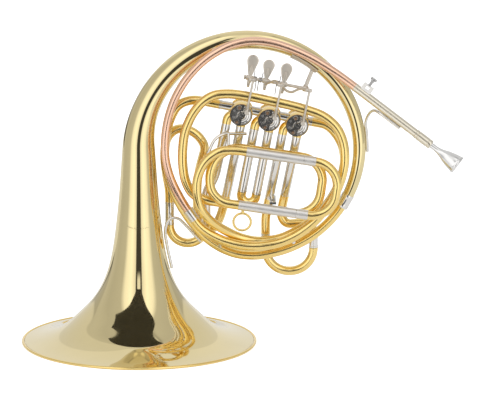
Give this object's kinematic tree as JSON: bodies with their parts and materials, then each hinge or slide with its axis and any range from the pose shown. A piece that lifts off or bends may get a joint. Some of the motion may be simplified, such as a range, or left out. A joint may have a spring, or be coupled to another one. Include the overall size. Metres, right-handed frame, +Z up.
{
  "type": "french horn",
  "caption": "Single French horn with rotary valves, finger levers, pull-out tuning slides and a wide flared bell; stands on its bell.",
  "frame": {"origin": "centre of the bell rim, on the plane that the horn stands on", "axes": "+Z up along the bell axis, +X towards the mouthpiece, -Y towards the side with the levers"},
  "size_m": [0.5801, 0.3102, 0.4197],
  "materials": {
    "lacquered_brass": "polished and clear lacquered yellow brass",
    "rose_brass": "polished and clear lacquered rose brass",
    "nickel_silver": "polished nickel silver",
    "silver_plate": "bright silver plate",
    "rotor_bronze": "machined",
    "spring_steel": "drawn wire and turned steel",
    "bumper_cork": "matte cork substitute"
  },
  "bodies": {
    "horn": {"bell_brace": "nickel_silver", "bell_flare": "lacquered_brass", "bell_rim_wire": "lacquered_brass", "bell_tail": "lacquered_brass", "branch_ferrules": "nickel_silver", "finger_ring": "lacquered_brass", "first_coil": "lacquered_brass", "leadpipe": "rose_brass", "leadpipe_brace": "nickel_silver", "leadpipe_sleeve": "nickel_silver", "lever_axle": "nickel_silver", "lever_post": "nickel_silver", "lever_springs": "spring_steel", "link_bow": "lacquered_brass", "lyre_socket": "nickel_silver", "main_slide_sleeves": "nickel_silver", "mouthpiece_receiver": "lacquered_brass", "outlet_branch": "lacquered_brass", "plate_screws": "spring_steel", "port_sleeves": "nickel_silver", "rear_tuning_bow": "lacquered_brass", "rotor_casing_1": "lacquered_brass", "rotor_casing_2": "lacquered_brass", "rotor_casing_3": "lacquered_brass", "slide_brace": "nickel_silver", "stop_bumpers": "bumper_cork", "stop_plates": "nickel_silver", "tube_bridges": "lacquered_brass", "valve_1_legs": "nickel_silver", "valve_1_loop": "lacquered_brass", "valve_3_legs": "nickel_silver", "valve_bearings": "nickel_silver", "valve_brace": "nickel_silver", "valve_caps": "lacquered_brass", "valve_feed_branch": "lacquered_brass", "valve_knuckles": "lacquered_brass", "valve_slide_sleeves": "nickel_silver"},
    "main_slide": {"main_slide_bow": "lacquered_brass", "main_slide_legs": "nickel_silver", "main_slide_ferrules": "nickel_silver"},
    "valve_slide_1": {"valve_1_slide_bow": "lacquered_brass", "valve_1_slide_legs": "nickel_silver"},
    "valve_slide_2": {"valve_2_slide_bow": "lacquered_brass", "valve_2_slide_legs": "nickel_silver"},
    "valve_slide_3": {"valve_3_slide_bow": "lacquered_brass", "valve_3_slide_legs": "nickel_silver"},
    "mouthpiece": {"mouthpiece": "silver_plate"},
    "thumbscrew": {"lyre_thumbscrew": "spring_steel"},
    "lever_1": {"lever_1": "nickel_silver"},
    "link_rod_1": {"link_rod_1": "nickel_silver"},
    "rotor_1": {"rotor_1": "rotor_bronze", "stop_arm_1": "nickel_silver"},
    "lever_2": {"lever_2": "nickel_silver"},
    "link_rod_2": {"link_rod_2": "nickel_silver"},
    "rotor_2": {"rotor_2": "rotor_bronze", "stop_arm_2": "nickel_silver"},
    "lever_3": {"lever_3": "nickel_silver"},
    "link_rod_3": {"link_rod_3": "nickel_silver"},
    "rotor_3": {"rotor_3": "rotor_bronze", "stop_arm_3": "nickel_silver"}
  },
  "joints": [
    {"name": "main_tuning_slide", "type": "slide", "parent": "horn", "child": "main_slide", "axis": [0.9893, 0, -0.1461], "range_m": [0, 0.04]},
    {"name": "first_valve_slide", "type": "slide", "parent": "horn", "child": "valve_slide_1", "axis": [0, 0, -1], "range_m": [0, 0.022]},
    {"name": "second_valve_slide", "type": "slide", "parent": "horn", "child": "valve_slide_2", "axis": [-0.1891, 0, -0.982], "range_m": [0, 0.022]},
    {"name": "third_valve_slide", "type": "slide", "parent": "horn", "child": "valve_slide_3", "axis": [0, 0, -1], "range_m": [0, 0.014]},
    {"name": "mouthpiece_pull", "type": "slide", "parent": "horn", "child": "mouthpiece", "axis": [0.7939, -0.176, -0.582], "range_m": [0, 0.022]},
    {"name": "thumbscrew_turn", "type": "hinge", "parent": "horn", "child": "thumbscrew", "pos_m": [0.29464, -0.02748, 0.34127], "axis": [0.5912, 0, 0.8065], "continuous": true},
    {"name": "lever_1_press", "type": "hinge", "parent": "horn", "child": "lever_1", "pos_m": [0.14582, -0.003, 0.357], "axis": [0.982, 0, -0.1891], "range_deg": [0, 27.5], "stiffness_Nm_per_rad": 0.06, "springref_deg": -28.65},
    {"name": "link_rod_1_pivot", "type": "hinge", "parent": "lever_1", "child": "link_rod_1", "pos_m": [0.15052, -0.02974, 0.35992], "axis": [0.982, 0, -0.1891], "range_deg": [-27.5, 0]},
    {"name": "rotor_1_turn", "type": "hinge", "parent": "horn", "child": "rotor_1", "pos_m": [0.13458, -0.004, 0.31079], "axis": [0, 1, 0], "range_deg": [0, 90]},
    {"name": "lever_2_press", "type": "hinge", "parent": "horn", "child": "lever_2", "pos_m": [0.16713, -0.003, 0.3529], "axis": [0.982, 0, -0.1891], "range_deg": [0, 27.5], "stiffness_Nm_per_rad": 0.06, "springref_deg": -28.65},
    {"name": "link_rod_2_pivot", "type": "hinge", "parent": "lever_2", "child": "link_rod_2", "pos_m": [0.18734, -0.02974, 0.35283], "axis": [0.982, 0, -0.1891], "range_deg": [-27.5, 0]},
    {"name": "rotor_2_turn", "type": "hinge", "parent": "horn", "child": "rotor_2", "pos_m": [0.1714, -0.004, 0.3037], "axis": [0, 1, 0], "range_deg": [0, 90]},
    {"name": "lever_3_press", "type": "hinge", "parent": "horn", "child": "lever_3", "pos_m": [0.1904, -0.003, 0.34841], "axis": [0.982, 0, -0.1891], "range_deg": [0, 27.5], "stiffness_Nm_per_rad": 0.06, "springref_deg": -28.65},
    {"name": "link_rod_3_pivot", "type": "hinge", "parent": "lever_3", "child": "link_rod_3", "pos_m": [0.22417, -0.02974, 0.34574], "axis": [0.982, 0, -0.1891], "range_deg": [-27.5, 0]},
    {"name": "rotor_3_turn", "type": "hinge", "parent": "horn", "child": "rotor_3", "pos_m": [0.20822, -0.004, 0.29661], "axis": [0, 1, 0], "range_deg": [0, 90]}
  ],
  "couplings": [
    {"joint": "link_rod_1_pivot", "follows": "lever_1_press", "ratio": -1},
    {"joint": "rotor_1_turn", "follows": "lever_1_press", "ratio": 3.2727},
    {"joint": "link_rod_2_pivot", "follows": "lever_2_press", "ratio": -1},
    {"joint": "rotor_2_turn", "follows": "lever_2_press", "ratio": 3.2727},
    {"joint": "link_rod_3_pivot", "follows": "lever_3_press", "ratio": -1},
    {"joint": "rotor_3_turn", "follows": "lever_3_press", "ratio": 3.2727}
  ]
}
